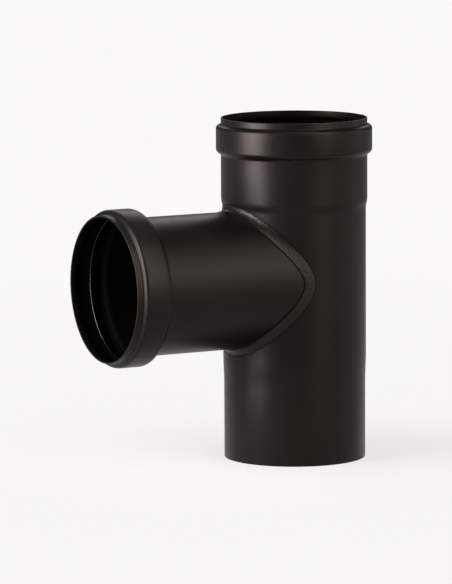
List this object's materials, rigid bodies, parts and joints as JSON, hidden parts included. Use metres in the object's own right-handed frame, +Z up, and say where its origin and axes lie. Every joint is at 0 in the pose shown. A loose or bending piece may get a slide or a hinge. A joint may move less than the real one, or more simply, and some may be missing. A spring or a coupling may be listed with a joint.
{
  "type": "stove pipe tee",
  "caption": "Black single-wall stove pipe tee with beaded seal sockets on the top and the branch and a plain spigot below.",
  "frame": {"origin": "centre of the spigot's end, on the run's axis", "axes": "+Z up the run from the spigot to the top socket, +X along the branch's axis out of its mouth"},
  "size_m": [0.1653, 0.0882, 0.1929],
  "materials": {
    "painted_steel": "satin black heat-resistant paint",
    "painted_weld": "satin black paint over a dressed weld",
    "seal_silicone": "matte black silicone"
  },
  "bodies": {
    "root": {"run_tube": "painted_steel", "branch_tube": "painted_steel", "branch_weld": "painted_weld", "top_seal": "seal_silicone", "branch_seal": "seal_silicone"}
  },
  "joints": []
}
